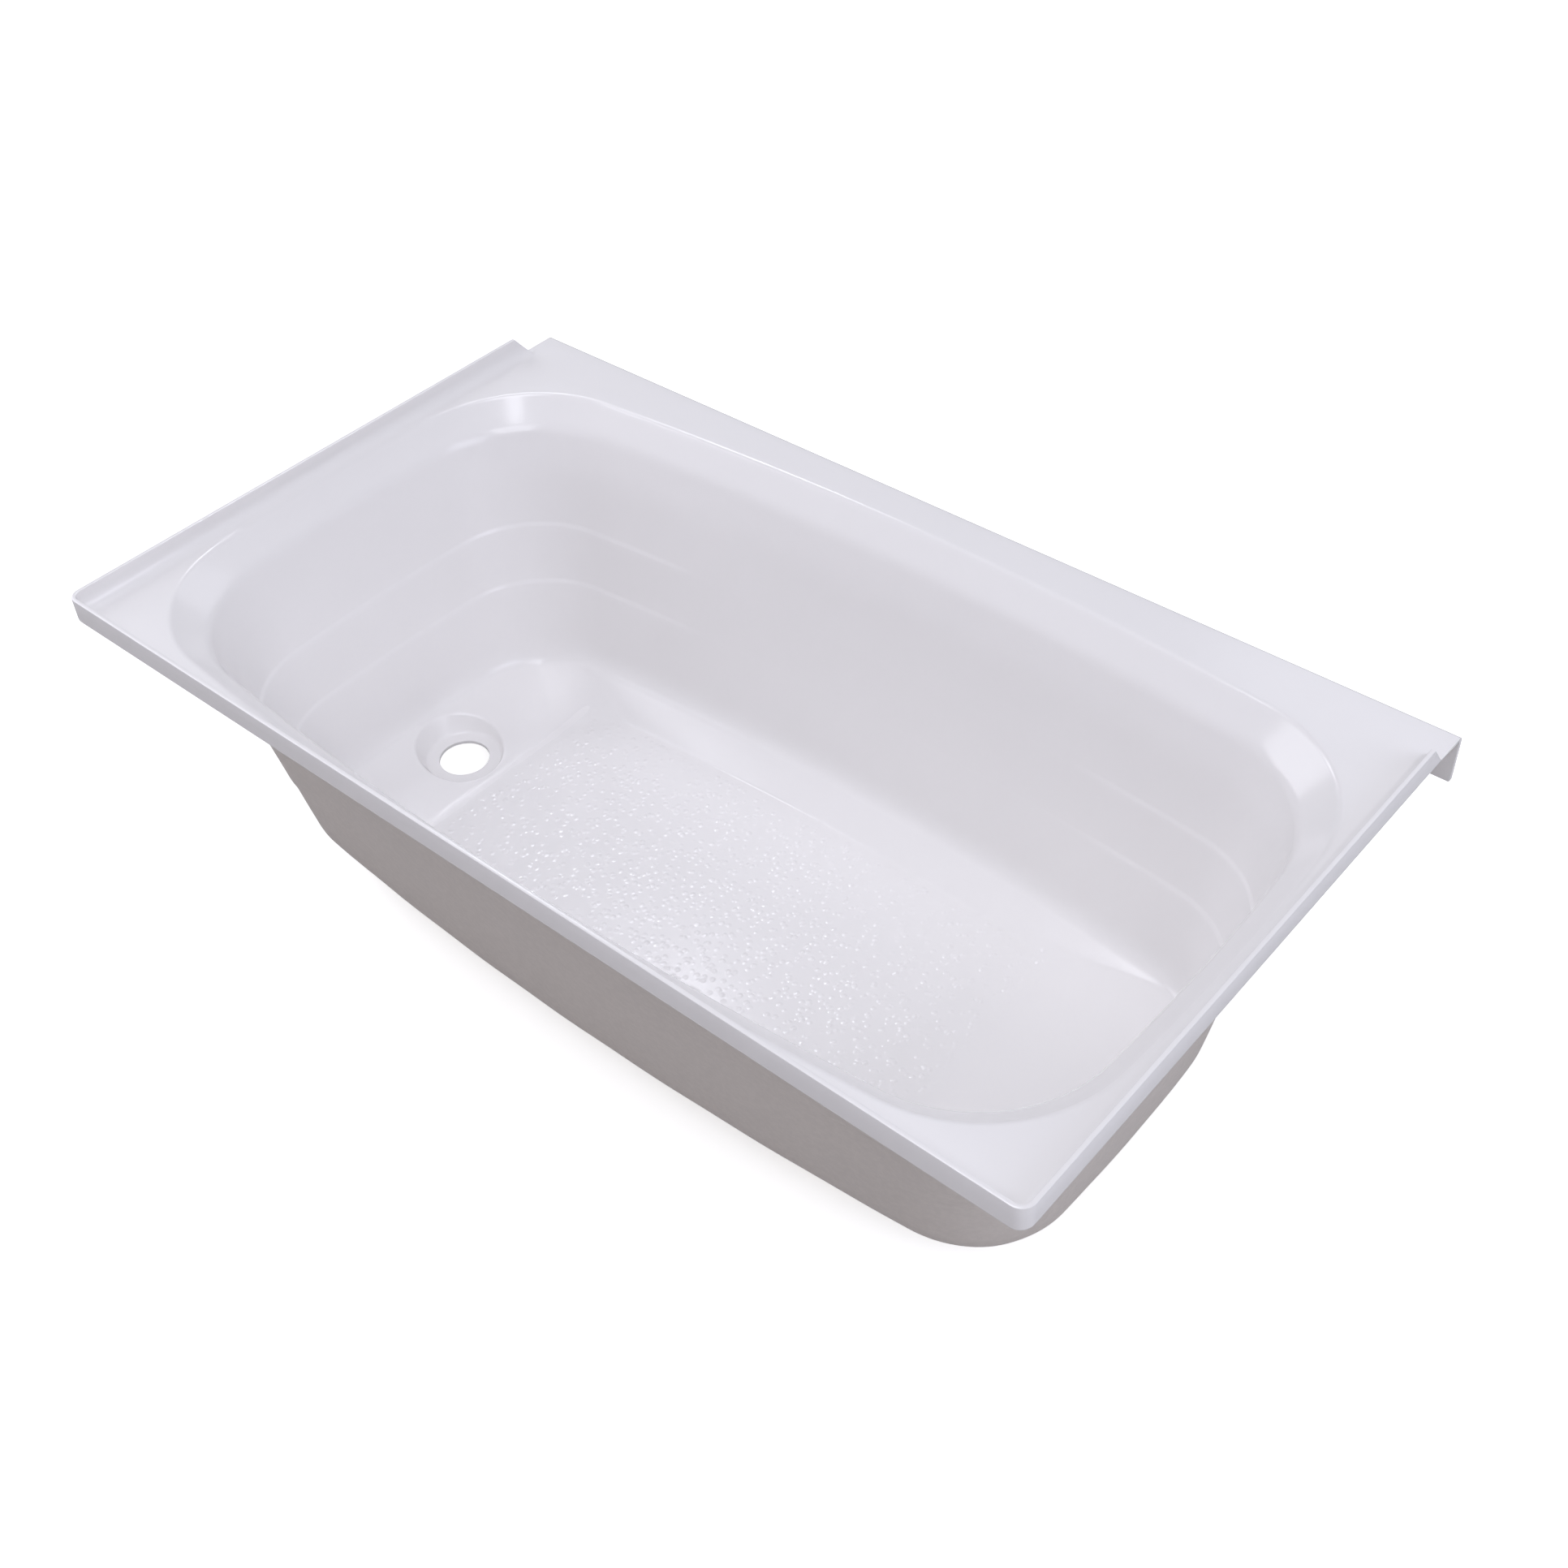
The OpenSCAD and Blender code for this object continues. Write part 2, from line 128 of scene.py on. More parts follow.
COOL, LAVENDER, BLUE = (0.92, 0.925, 1.0), (0.97, 0.90, 1.0), (0.90, 0.92, 1.05)
SEEN, MIRRORED, SCATTERED = 0.98, 0.48, 0.03     # strength of the surroundings for each kind of ray
world = bpy.data.worlds.new("studio")
world.use_nodes = True
sky = Nodes(world.node_tree)
from_camera = sky.add("ShaderNodeLightPath", output="Is Camera Ray")
from_matt = sky.add("ShaderNodeLightPath", output="Is Diffuse Ray")
strength = MIRRORED + (SEEN - MIRRORED) * from_camera + (SCATTERED - MIRRORED) * from_matt
sky.fill(world.node_tree.nodes["Background"], {"Color": (*COOL, 1.0), "Strength": strength})
bpy.context.scene.world = world
bpy.context.scene.view_settings.view_transform = "Standard"

# Each lamp's name, place, length and width in metres, power in watts and colour
LAMPS = (("overhead_softbox", (-0.25, -0.1, 3.0), 1.0, 1.0, 18.0, COOL),
         ("camera_softbox", (1.6, -1.6, 3.0), 2.0, 2.0, 42.0, COOL),
         ("back_end_softbox", (2.8, 0.2, 1.5), 2.0, 2.0, 30.0, BLUE),
         ("drain_end_softbox", (-2.6, -0.5, 2.0), 2.0, 2.0, 37.0, COOL),
         ("apron_softbox", (0.2, 2.8, 1.8), 2.0, 2.0, 13.0, COOL),
         ("wall_side_softbox", (-0.3, -2.8, 1.3), 2.0, 2.0, 7.8, LAVENDER),
         ("key_lamp", (0.1, -0.42, 2.4), 0.3, 0.2, 1.5, COOL),
         ("glint_lamp", (-1.42, 0.86, 2.15), 0.6, 0.3, 5.5, COOL))
AIM = Vector((0.0, 0.0, 0.2))
for name, place, length, width, power, colour in LAMPS:
    lamp = bpy.data.objects.new(name, bpy.data.lights.new(name, "AREA"))
    bpy.context.scene.collection.objects.link(lamp)
    lamp.location = place
    lamp.rotation_euler = (AIM - Vector(place)).to_track_quat("-Z", "Y").to_euler()
    lamp.data.shape = "RECTANGLE"
    lamp.data.size = length
    lamp.data.size_y = width
    lamp.data.energy = power
    lamp.data.color = colour


# Studio floor: plain matt paper, level with the underside of the bearers. The camera sees it glow a little,
# while the tub gets only what a duller paper throws back, so that its outer sides stay darker than its deck.
class Shader(Nodes):
    """One procedural material round a Principled shader, drawn in the piece's own metres."""

    def __init__(self, name):
        self.material = bpy.data.materials.new(name)
        self.material.use_nodes = True
        super().__init__(self.material.node_tree)
        self.principled = self.tree.nodes["Principled BSDF"]
        self.place = self.add("ShaderNodeTexCoord", output="Object")

    def put(self, **values):
        """Sets or links the Principled shader's inputs. A space in a name is written as _."""
        self.fill(self.principled, {key.replace("_", " "): value for key, value in values.items()})

    def axes(self):
        """The three object coordinates."""
        return [self.add("ShaderNodeSeparateXYZ", {0: self.place}, output=k) for k in range(3)]

    def noise(self, scale, detail, roughness=0.5):
        """Cloudy noise in 0..1. The scale is one number, or three that stretch it along the axes."""
        where = self.place
        if isinstance(scale, tuple):
            where = self.add("ShaderNodeVectorMath", {0: where, 1: scale}, operation="MULTIPLY")
            scale = 1.0
        inputs = {"Vector": where, "Scale": scale, "Detail": detail, "Roughness": roughness}
        return self.add("ShaderNodeTexNoise", inputs, output="Fac")

    def mix(self, share, first, second):
        """Blends two colours."""
        return self.add("ShaderNodeMix", {0: share, 6: first, 7: second}, output=2, data_type="RGBA")

    def bump(self, height, strength, distance):
        """Relief with its height in 0..1 and its distance in metres."""
        inputs = {"Height": height, "Strength": strength, "Distance": distance}
        self.put(Normal=self.add("ShaderNodeBump", inputs, output="Normal"))


HALF = 6.0                                       # half the side of the paper
PAPER, DULL_PAPER = (0.95, 0.945, 0.92, 1.0), (0.72, 0.71, 0.7, 1.0)
GLOW = 0.6
floor_mesh = bpy.data.meshes.new("studio_floor")
corners = [(-HALF, -HALF, 0), (HALF, -HALF, 0), (HALF, HALF, 0), (-HALF, HALF, 0)]
floor_mesh.from_pydata(corners, [], [(0, 1, 2, 3)])
studio_floor = bpy.data.objects.new("studio_floor", floor_mesh)
bpy.context.scene.collection.objects.link(studio_floor)
paper = Shader("paper")
paper.put(Base_Color=PAPER, Roughness=0.9)
paper.put(Emission_Color=(1.0, 1.0, 1.0, 1.0), Emission_Strength=GLOW)
glowing = Socket(paper, paper.principled.outputs[0])
dull = paper.add("ShaderNodeBsdfDiffuse", {"Color": DULL_PAPER})
from_camera = paper.add("ShaderNodeLightPath", output="Is Camera Ray")
shown = paper.add("ShaderNodeMixShader", {0: from_camera, 1: dull, 2: glowing})
paper.fill(paper.tree.nodes["Material Output"], {"Surface": shown})
floor_mesh.materials.append(paper.material)


# Tub sheet: one white acrylic sheet, drawn down over a mould while warm. The basin, the deck, the tiling
# flange on three sides, the apron lip on the fourth and the drain's dish are all folds of it, so it is one
# closed mesh. All its sizes are in millimetres, and heights count from the deck's top.
MM = 0.001
DECK_Z = 323.0
SHEET = 4.0
OPEN_X, OPEN_Y = -1.75, -17.4                    # the opening's middle
OPEN_A, OPEN_B = 490.25, 268.4                   # half its length and width, at the rim's highlight line
DRAIN_END_X, BACK_END_X = OPEN_X - OPEN_A, OPEN_X + OPEN_A
SIDE_BOW_R, END_BOW_R = 3690.0, 2040.0           # radii of its bowed sides and ends
QUARTERS = ((1, 1), (-1, 1), (-1, -1), (1, -1))  # signs of x and y, anticlockwise from the back end
N_END, N_CORNER, N_SIDE = 26, 32, 38             # a quarter's columns: the end's, the corner's, the side's
N_QUARTER = N_END + N_CORNER + N_SIDE
COLUMNS = 4 * N_QUARTER


def bowed_quarter(a, b, side_r, end_r, r, lead):
    """A quarter outline with bowed sides: arcs p = c + R (cos t, sin t) about three centres, each tangent to
    the next. The corner's centre is where circles of radius side_r - r and end_r - r about the other two
    centres cross. The first lead steps of the corner are taken along the end instead."""
    side_c, end_c = np.array((0.0, b - side_r)), np.array((a - end_r, 0.0))
    across = end_c - side_c
    d = math.hypot(*across)
    h = ((side_r - r) ** 2 - (end_r - r) ** 2 + d * d) / (2 * d)
    off = np.array((-across[1], across[0])) * math.sqrt(max((side_r - r) ** 2 - h * h, 0.0)) / d
    crossings = [side_c + across * h / d + sign * off for sign in (-1, 1)]
    corner_c = max(crossings, key=lambda p: p.sum())
    at_end = math.atan2(corner_c[1], corner_c[0] - end_c[0])
    at_side = math.atan2(corner_c[1] - side_c[1], corner_c[0])
    arcs = []
    for centre, radius, start, stop, n in ((end_c, end_r, 0.0, at_end, N_END + lead),
                                           (corner_c, r, at_end, at_side, N_CORNER - lead),
                                           (side_c, side_r, at_side, math.pi / 2, N_SIDE)):
        t = start + (stop - start) * np.arange(n) / n
        arcs.append(centre + radius * np.column_stack((np.cos(t), np.sin(t))))
    return np.vstack(arcs + [[(0.0, b)]])


def closed(quarters):
    """One ring from four quarters that each run from an end's middle to a side's middle."""
    a, b, c, d = quarters
    return np.concatenate((a[:-1], b[:0:-1], c[:-1], d[:0:-1]))


def ring(in_drain, in_back, in_side, r, lead=0):
    """The opening's outline, set in from the rim by different amounts at the two ends and the sides."""
    in_end = (in_drain + in_back) / 2
    bow_radii = SIDE_BOW_R - in_side, END_BOW_R - in_end
    quarter = bowed_quarter(OPEN_A - in_end, OPEN_B - in_side, *bow_radii, r, lead)
    return closed([quarter * signs for signs in QUARTERS]) + (OPEN_X + (in_drain - in_back) / 2, OPEN_Y)


ROW_GAP = 9                                      # rows on a straight stretch are no further apart


def rounded(stations, bends):
    """A path through the stations with each inner corner c replaced by the quadratic curve
    p (1 - t)^2 + 2 c t (1 - t) + q t^2. A bend says how far before and after c its ends p and q lie, in
    depth and mean set-in, and its number of steps."""
    def gap(a, b):
        return math.hypot(b[0] - a[0], (b[1] - a[1] + b[2] - a[2]) / 2)

    rows = [stations[:1]]
    for a, c, b, (before, after, n) in zip(stations, stations[1:], stations[2:], bends):
        p = c + (a - c) * before / gap(a, c)
        q = c + (b - c) * after / gap(c, b)
        last = rows[-1][-1]
        straight = int(gap(last, p) // ROW_GAP)
        rows.append(last + (p - last) * (np.arange(straight)[:, None] + 1) / (straight + 1))
        t = np.linspace(0, 1, n + 1)[:, None]
        rows.append(p * (1 - t) ** 2 + 2 * c * t * (1 - t) + q * t ** 2)
    return np.vstack(rows)


# Stations from the rim's highlight line down: depth, set-in at the ends and at the sides, corner radius, and
# the share of a ledge's step, half above and half below the wall's plain line. The roll starts them.
RIM_R, ROLL_R, ROLL_ANGLE = 130, 8.5, math.radians(45)
SHOULDER, WALL = (24, 21.5, 21.5, 122, 0), (60, 29, 35, 114, 0)
LEDGES, LEDGE_R = ((121, 40, 49), (182, 51, 61)), 100
LEDGE_HALF = np.array((1.7, 0.3, 0.4))           # from a ledge's middle to its lower bend: depth and set-ins
LEDGE_STEP, LEDGE_OUT, LEDGE_FADE = 1.0, 190, 110    # a ledge is 1 mm wide and fades out on the long sides
WALL_END, BASE = (264, 65, 77.5, 89, 0), (268, 71, 90, 78, 0)
SHOULDER_BEND, WALL_BEND, FOOT_BEND = (7, 7, 8), (14, 14, 6), (19, 10.07, 12)
LEDGE_BENDS = ((1.4, 1.6, 4), (1.6, 1.4, 4))
roll_t = np.linspace(0, ROLL_ANGLE, 7)
roll_in = ROLL_R * (np.sin(roll_t) - math.sin(ROLL_ANGLE))
roll = np.column_stack((ROLL_R * (1 - np.cos(roll_t)), roll_in, roll_in, RIM_R - roll_in, 0 * roll_in))
ledges = [(*(middle + side * LEDGE_HALF), LEDGE_R, side / 2) for middle in LEDGES for side in (-1, 1)]
wall = rounded(np.array((roll[-1], SHOULDER, WALL, *ledges, WALL_END, BASE)),
               (SHOULDER_BEND, WALL_BEND, *LEDGE_BENDS, *LEDGE_BENDS, FOOT_BEND))
levels = np.vstack((roll, wall[1:]))
basin = []
for depth, in_end, in_side, r, step in levels:
    step = step * LEDGE_STEP
    plain = ring(in_end, in_end, in_side, r)
    stepped = ring(in_end + step, in_end + step, in_side + step, r)
    share = np.clip((np.abs(plain[:, :1] - OPEN_X) - LEDGE_OUT) / LEDGE_FADE, 0, 1)
    share = share * share * (3 - 2 * share)
    basin.append(np.column_stack((plain * (1 - share) + stepped * share, np.full(COLUMNS, -depth))))
basin = np.array(basin)

# The bottom slopes from the wall's foot to the flat floor, which falls towards the drain. The ends' slopes
# are planes, so the wall's foot dips to meet them, over its last DIP_RUN. At each corner the end's plane
# meets the side's slope in a mitre, from the middle of the foot's corner to the floor's end edge.
FLOOR_DEPTH, FLOOR_DROP = 284, 10.5
FLOOR_IN_DRAIN, FLOOR_IN_BACK, FLOOR_IN_SIDE, FLOOR_CORNER_R = 177, 221, 123, 60
LEAD = N_CORNER // 2
MITRE = N_END + LEAD                             # the mitre's column, counted from the end's middle
DIP_RUN = 23
SLOPE_ROWS, SOFT = 22, 0.12                      # the last SOFT share of the slope bends into the floor
base_depth, base_in = BASE[:2]
edge_x, back_edge_x = DRAIN_END_X + FLOOR_IN_DRAIN, BACK_END_X - FLOOR_IN_BACK


def floor_z(x):
    """The floor's height, which falls evenly towards the drain."""
    return -FLOOR_DEPTH + FLOOR_DROP / (back_edge_x - edge_x) * (x - OPEN_X)


edge = ring(FLOOR_IN_DRAIN, FLOOR_IN_BACK, FLOOR_IN_SIDE, FLOOR_CORNER_R, LEAD)
edge = np.column_stack((edge, floor_z(edge[:, 0])))
foot = basin[-1]
drain_side = foot[:, 0] < OPEN_X
foot_x = np.where(drain_side, DRAIN_END_X + base_in, BACK_END_X - base_in)
flat_x = np.where(drain_side, edge_x, back_edge_x)
dip = (-base_depth - floor_z(flat_x)) * (foot[:, 0] - foot_x) / (flat_x - foot_x)
quadrant, column = np.divmod(np.arange(COLUMNS), N_QUARTER)
towards_end = quadrant % 2 == 1
column = np.where(towards_end, N_QUARTER - column, column)
mitre = np.where(towards_end, (quadrant + 1) * N_QUARTER - MITRE, quadrant * N_QUARTER + MITRE)
past = column - MITRE
dip = np.where(past <= 0, dip, dip[mitre] * np.clip(1 - past / LEAD, 0, 1))
dip_share = np.clip((levels[:, 0] - base_depth + DIP_RUN) / DIP_RUN, 0, 1) ** 2
basin[:, :, 2] -= dip_share[:, None] * dip
foot = basin[-1]
v = np.arange(1, SLOPE_ROWS + 1) / SLOPE_ROWS
fall = (v - np.clip(v - 1 + SOFT, 0, SOFT) ** 2 / (2 * SOFT)) / (1 - SOFT / 2)
slope = foot + (edge - foot) * np.column_stack((v, v, fall))[:, None]
pole = np.array((OPEN_X, OPEN_Y, floor_z(OPEN_X)))
TO_POLE = (0.03, 0.08, 0.16, 0.28, 0.42, 0.58, 0.75, 0.9)    # the flat floor's rows
flat = [edge * (1 - v) + pole * v for v in TO_POLE]
basin = np.concatenate((basin, slope, flat))     # rows from the rim inwards, columns round the plan


def normals(grid):
    """Unit normals of a grid of rings, up and into the basin: the cross product of its two differences."""
    n = np.cross(np.roll(grid, -1, 1) - np.roll(grid, 1, 1), np.gradient(grid, axis=0))
    n /= np.linalg.norm(n, axis=2, keepdims=True)
    return n * np.sign(n[-1, 0, 2])


up = normals(basin)
up[0] = (0, 0, 1)
under = basin - SHEET * up

# The flange's inner faces stand at INNER_X and WALL_Y. A cove joins them to the deck. At FLANGE_END_Y the
# end flanges have sloped down to the deck, and from there to LIP_Y they taper off into the lip's corner.
INNER_X, OUTER_X, WALL_Y, LIP_Y, FLANGE_END_Y = 504.0, 508.0, -292.0, 290.0, 259.0
FLANGE_H, FLANGE_SLOPE, COVE_R = 21.6, 17.0, 12.0
ROLL_DEPTH = 30                                  # the cove only reaches the basin's rows above this depth


def flange_height(y):
    """The flange's height: 0 at FLANGE_END_Y, rising evenly over FLANGE_SLOPE to FLANGE_H."""
    return np.clip(FLANGE_H * (FLANGE_END_Y - y) / FLANGE_SLOPE, 0, FLANGE_H)


def cove_height(points):
    """The deck's height over its plane near the flange: the cove's arc, cut off by the flange's slope."""
    d = np.minimum(INNER_X - np.abs(points[..., 0]), points[..., 1] - WALL_Y)
    d = COVE_R - np.clip(d, 0, COVE_R)
    return np.minimum(COVE_R - np.sqrt(COVE_R ** 2 - d ** 2), flange_height(points[..., 1]))


wall_rows = basin[:len(levels)]
wall_rows[:, :, 2] += np.where(wall_rows[:, :, 2] > -ROLL_DEPTH, cove_height(wall_rows), 0)

# The line along which deck and flange meet, with one point per column: the flange's inner face on three
# sides with round corners, and the start of the lip's bend on the fourth. into and out point into the deck
# and out of it. Beside a round corner, into turns towards it over TURN.
FLANGE_R, TURN = 8.0, 30.0
CENTRE_X, CENTRE_Y = INNER_X - FLANGE_R, WALL_Y + FLANGE_R
LIP_CORNER_R = 2.0
line, into, out = [], [], []
for sx, sy in QUARTERS:
    end_y = OPEN_Y + sy * np.abs(basin[0, :N_END, 1] - OPEN_Y)
    side_x = np.abs(OPEN_X + sx * np.abs(basin[0, N_END + N_CORNER:N_QUARTER + 1, 0] - OPEN_X))
    if sy < 0:
        down = np.linspace(end_y[-1], CENTRE_Y, 12)[1:]
        t = np.linspace(0, math.pi / 2, 12)[1:]
        rest = np.linspace(CENTRE_X, side_x[0], N_CORNER - len(down) - len(t) + 2)[1:-1]
        on_end, on_side = N_END + len(down), len(rest) + len(side_x)
        x = np.concatenate((np.full(on_end, INNER_X), CENTRE_X + FLANGE_R * np.cos(t), rest, side_x))
        y = np.concatenate((end_y, down, CENTRE_Y - FLANGE_R * np.sin(t), np.full(on_side, WALL_Y)))
        before = np.clip(1 - (y - CENTRE_Y) / TURN, 0, 1)
        after = np.clip(1 - (CENTRE_X - x) / TURN, 0, 1)
        out_x = np.clip((x - CENTRE_X) / FLANGE_R, 0, 1)
        out_y = np.clip((CENTRE_Y - y) / FLANGE_R, 0, 1)
        into.append(np.column_stack((-sx * np.where(out_y < 1, 1, after), np.where(out_x < 1, 1, before))))
        out.append(np.column_stack((sx * out_x, -out_y)))
    else:
        slope_y = FLANGE_END_Y - FLANGE_SLOPE
        down = np.concatenate((np.linspace(end_y[-1], slope_y, 11)[1:-1],
                               np.linspace(slope_y, FLANGE_END_Y, 9),
                               np.linspace(FLANGE_END_Y, LIP_Y, 5)[1:-1]))
        corner = OUTER_X - np.array((0, 0.2, 0.7, 1.4, LIP_CORNER_R, 8))
        rest = np.linspace(corner[-1], side_x[0], N_CORNER - len(down) - len(corner) + 2)[1:-1]
        on_end, on_side = N_END + len(down), len(corner) + len(rest) + len(side_x)
        y = np.concatenate((end_y, down, np.full(on_side, LIP_Y)))
        taper = np.clip((y[:on_end] - FLANGE_END_Y) / (LIP_Y - FLANGE_END_Y), 0, 1)
        x = np.concatenate((INNER_X + SHEET * taper, corner, rest, side_x))
        at_end = np.arange(len(x))[:, None] < on_end
        into.append(np.where(at_end, (-sx, 0.0), (0.0, -1.0)))
        out.append(np.where(at_end, (sx, 0.0), (0.0, 1.0)))
    line.append(np.column_stack((sx * x, y)))
line, into, out = closed(line), closed(into), closed(out)
at_lip = line[:, 1] > LIP_Y - 1e-6
crest = np.where(at_lip, 0, flange_height(line[:, 1]))
no_flange = crest < 1e-6
fullness = np.clip((LIP_Y - line[:, 1]) / (LIP_Y - FLANGE_END_Y), 0, 1)
thick = SHEET * fullness

# Deck, from the flange's foot to the rim. First comes the cove's arc, which starts where the crest cuts it
# off and takes up no more than COVE_SHARE of the room before the rim.
COVE_SHARE = 0.8
start = basin[0, :, :2]
room = np.abs(((start - line) * into).sum(1)) / (into * into).sum(1)
from_a = np.arcsin(np.clip((COVE_R - crest) / COVE_R, 0, 1))
to_a = np.maximum(np.arccos(np.clip(1 - COVE_SHARE * room / COVE_R, 0, 1)), from_a)
deck = []
for v in np.linspace(0, 1, 9):
    a = from_a + (to_a - from_a) * v
    away = COVE_R - COVE_R * np.cos(a)
    cove = np.column_stack((line + into * away[:, None], np.minimum(COVE_R - COVE_R * np.sin(a), crest)))
    plane = np.column_stack((line + into * (COVE_R * fullness ** 2 * v)[:, None], 0 * a))
    deck.append(np.where(no_flange[:, None], plane, cove))
cove_end = deck[-1][:, :2]
for v in (0.2, 0.4, 0.6, 0.8):
    between = cove_end * (1 - v) + start * v
    deck.append(np.column_stack((between, np.where(at_lip, 0, cove_height(between)))))
deck = np.array(deck)
deck_under = [np.column_stack((line * (1 - v) + start * v, np.full(COLUMNS, -SHEET))) for v in (0, 0.5)]

# Flange, from its inner face over the bevelled crest and down to the heel, which is a quarter circle as wide
# as the flange is thick. Each row is a distance outwards from the line and a height. A bevel is an arc,
# whose middle lies ROUND times the bevel from both faces.
BEVEL, ROUND = 0.7, 0.3
bevel = np.minimum(BEVEL, crest / 3)
inner = np.where(no_flange, 0, COVE_R * np.cos(from_a) - COVE_R)
low = np.minimum(crest, COVE_R)
half = thick / (2 * SHEET)
profile = [(inner, (low + crest - bevel) / 2),
           (inner, crest - bevel),
           (inner + ROUND * bevel, crest - ROUND * bevel),
           (inner + bevel, crest),
           (thick - bevel, crest),
           (thick - ROUND * bevel, crest - ROUND * bevel),
           (thick, crest - bevel),
           (thick, (crest - bevel) * (1 - half) + (thick - SHEET) * half)]
for t in np.linspace(0, math.pi / 2, 6):
    profile.append((thick * math.cos(t), -SHEET + thick * (1 - math.sin(t))))
flange = []
for away, height in profile:
    way = np.where(away[:, None] < 0, -into, out)
    flange.append(np.column_stack((line + way * away[:, None], height)))
flange = np.array(flange)

# Lip, from the deck round the bend and down. Its lower corners are rounded in elevation. Its end rows are
# distances from the face and heights over the lip's end.
LIP_H, LIP_BEND_R = 48.4, 6.0
OUTER_END, INNER_END = ((-0.3, 0.4), (-0.8, 0)), ((0.2, 0.3), (0.5, 0))
past_corner = np.clip(np.abs(line[:, 0]) - OUTER_X + LIP_CORNER_R, 0, LIP_CORNER_R)
lip_end = -LIP_H + LIP_CORNER_R - np.sqrt(LIP_CORNER_R ** 2 - past_corner ** 2)


def lip_face(r, end_rows):
    """One face of the lip: a quarter circle of radius r, a straight drop, and two rows that round it off."""
    bend = [(r * math.sin(t), r * math.cos(t) - LIP_BEND_R) for t in np.linspace(0, math.pi / 2, 7)]
    drop = [(r, (lip_end + LIP_BEND_R) * v - LIP_BEND_R) for v in (0.35, 0.7, 0.96)]
    end = [(r + away, lip_end + above) for away, above in end_rows]
    rows = bend + drop + end
    return np.array([np.column_stack((line[:, 0], line[:, 1] + y, z + 0 * lip_end)) for y, z in rows])


lip_out = lip_face(LIP_BEND_R, OUTER_END)
lip_in = lip_face(LIP_BEND_R - SHEET, INNER_END)

# The drain's dish takes the place of a block of the grid, in the plane of the end's slope. The hole's edges
# are bevelled by TOP_BEVEL and UNDER_BEVEL.
DRAIN = np.array((-368.0, OPEN_Y))
HOLE_R, SEAT_R, SEAT_Z, DISH_ANGLE = 25.4, 38.0, -290.0, math.radians(62)
TOP_BEVEL, UNDER_BEVEL = 0.5, 0.3
TOP_SOFT, UNDER_SOFT = 2.2, 1.4                  # reach of the dish's bends
DISH_ROWS, DISH_HALF = 20, 17                    # the block's rows, and half its columns
DISH_TOP, DISH_BOTTOM = len(levels) - 1, len(levels) - 1 + DISH_ROWS
LEFT, RIGHT = 2 * N_QUARTER - DISH_HALF, 2 * N_QUARTER + DISH_HALF


def spokes(grid, top, bottom):
    """The rim of the block, and for each of its points the distance and direction from the drain's axis. The
    slope's plane through the block's corners has the height axis_z at the axis and rises by rise along each
    direction."""
    rim = np.vstack((grid[top, LEFT:RIGHT], grid[top:bottom, RIGHT],
                     grid[bottom, RIGHT:LEFT:-1], grid[bottom:top:-1, LEFT]))
    corner = grid[top, 2 * N_QUARTER]
    n = np.cross(grid[bottom, LEFT] - corner, grid[bottom, RIGHT] - corner)
    away = rim[:, :2] - DRAIN
    reach = np.hypot(away[:, 0], away[:, 1])
    unit = away / reach[:, None]
    axis_z = corner[2] - (DRAIN - corner[:2]) @ n[:2] / n[2]
    rise = -unit @ n[:2] / n[2]
    return rim, reach, unit, axis_z, rise


def circle(unit, radius, z):
    """A ring about the drain's axis. Radius and height may differ from point to point."""
    ones = np.ones(len(unit))
    return np.column_stack((DRAIN + unit * (ones * radius)[:, None], ones * z))


def inwards(rim, reach, unit, axis_z, rise, radius):
    """Rings from the rim of the block straight inwards, which settle into the slope's plane. Each pair is a
    share of the way in and the share of the rim's own offset from that plane that is left there."""
    off = rim[:, 2] - axis_z - rise * reach
    rings = [rim]
    for v, share in ((0.4, 0.36), (0.75, 0.06)):
        r = reach + (radius - reach) * v
        rings.append(circle(unit, r, axis_z + rise * r + off * share))
    return rings


def dish(grid, seat_r, seat_z, soft, hole_r):
    """From the slope down a cone and over a flat seat to the hole. Both corners of that profile are the
    quadratic curves c + before (1 - t)^2 + after t^2."""
    rim, reach, unit, axis_z, rise = spokes(grid, DISH_TOP, DISH_BOTTOM)
    lean = math.tan(DISH_ANGLE)
    edge_r = (seat_r * lean + axis_z - seat_z) / (lean - rise)
    edge_z = axis_z + rise * edge_r
    soft = np.minimum(soft, 0.4 * (edge_z - seat_z))
    rings = inwards(rim, reach, unit, axis_z, rise, edge_r + soft)
    for corner_r, corner_z, before, after in ((edge_r, edge_z, (soft, rise * soft), (-soft / lean, -soft)),
                                              (seat_r, seat_z, (soft / lean, soft), (-soft, 0))):
        for t in np.linspace(0, 1, 6):
            rings.append(circle(unit, corner_r + (1 - t) ** 2 * before[0] + t ** 2 * after[0],
                                corner_z + (1 - t) ** 2 * before[1] + t ** 2 * after[1]))
    return np.array(rings + [circle(unit, hole_r + 4, seat_z), circle(unit, hole_r, seat_z)])


def hole_ring(z):
    """A ring of the hole's wall at the height z, below the points of the seat's inner edge."""
    unit = (dish_top[-1, :, :2] - DRAIN) / (HOLE_R + TOP_BEVEL)
    return circle(unit, HOLE_R, z)


dish_top = dish(basin, SEAT_R, SEAT_Z, TOP_SOFT, HOLE_R + TOP_BEVEL)
dish_under = dish(under, SEAT_R + SHEET, SEAT_Z - SHEET, UNDER_SOFT, HOLE_R + UNDER_BEVEL)
hole = [hole_ring(SEAT_Z - TOP_BEVEL), hole_ring(SEAT_Z - SHEET + UNDER_BEVEL)]


